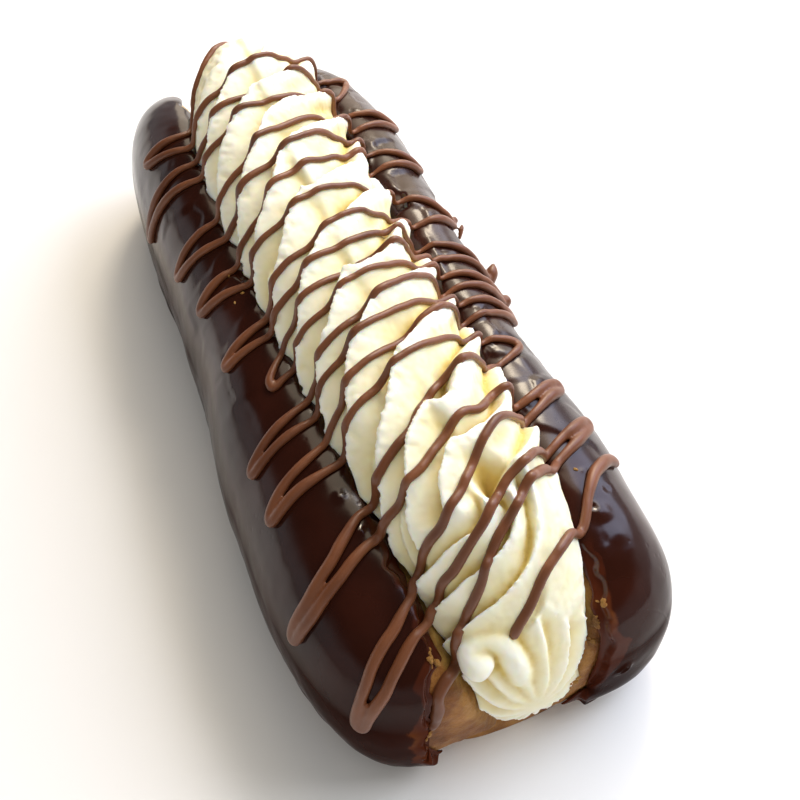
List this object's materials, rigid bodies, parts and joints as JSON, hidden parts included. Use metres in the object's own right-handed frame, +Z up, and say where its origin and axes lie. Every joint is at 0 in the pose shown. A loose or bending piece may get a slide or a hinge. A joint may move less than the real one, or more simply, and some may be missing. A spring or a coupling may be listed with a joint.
{
  "type": "chocolate eclair",
  "caption": "Choux bun slit along its top, dark chocolate on both lips, filled with piped whipped cream under a milk chocolate drizzle.",
  "frame": {"origin": "middle of the flat underside, on the surface the eclair rests on", "axes": "+X along the eclair toward the end where the cream curls up, -Y the left lip, +Y the right lip, +Z up"},
  "size_m": [0.1495, 0.064, 0.0496],
  "materials": {
    "choux": "baked golden-brown crust over pale yellow crumb",
    "cream": "satin ivory whipped cream",
    "dark_chocolate": "glossy set dark chocolate",
    "milk_chocolate": "satin set milk chocolate"
  },
  "bodies": {
    "root": {"choux_bun": "choux", "cream": "cream", "chocolate_coat_left": "dark_chocolate", "chocolate_coat_right": "dark_chocolate"}
  },
  "joints": []
}
